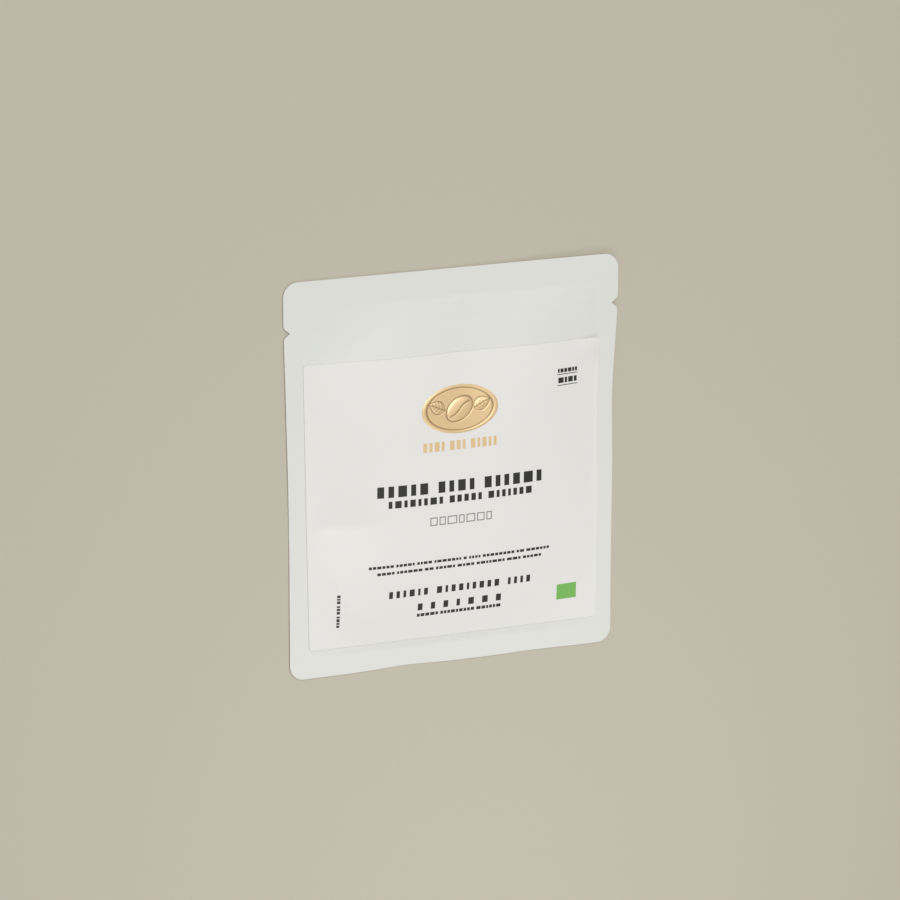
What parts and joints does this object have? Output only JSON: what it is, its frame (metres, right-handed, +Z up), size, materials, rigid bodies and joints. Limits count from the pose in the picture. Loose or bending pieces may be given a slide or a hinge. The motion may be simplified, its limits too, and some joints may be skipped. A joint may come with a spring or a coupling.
{
  "type": "coffee brew bag",
  "caption": "Flat heat-sealed pouch of matt white film, softly filled by its brew bag, with welded edges, tear notches and a large paper label on the front.",
  "frame": {"origin": "on the surface that the pack lies on, under the middle of its outline", "axes": "+Z up out of the labelled front, +Y from the bottom seal to the tear-off end with the notches, +X to the right across the label"},
  "size_m": [0.1414, 0.1604, 0.0068],
  "materials": {
    "film": "satin",
    "label_paper": "matte",
    "dark_ink": "satin",
    "grey_ink": "matte",
    "green_ink": "satin",
    "gold_foil": "satin"
  },
  "bodies": {
    "root": {"pouch": "film", "label": "label_paper"}
  },
  "joints": []
}
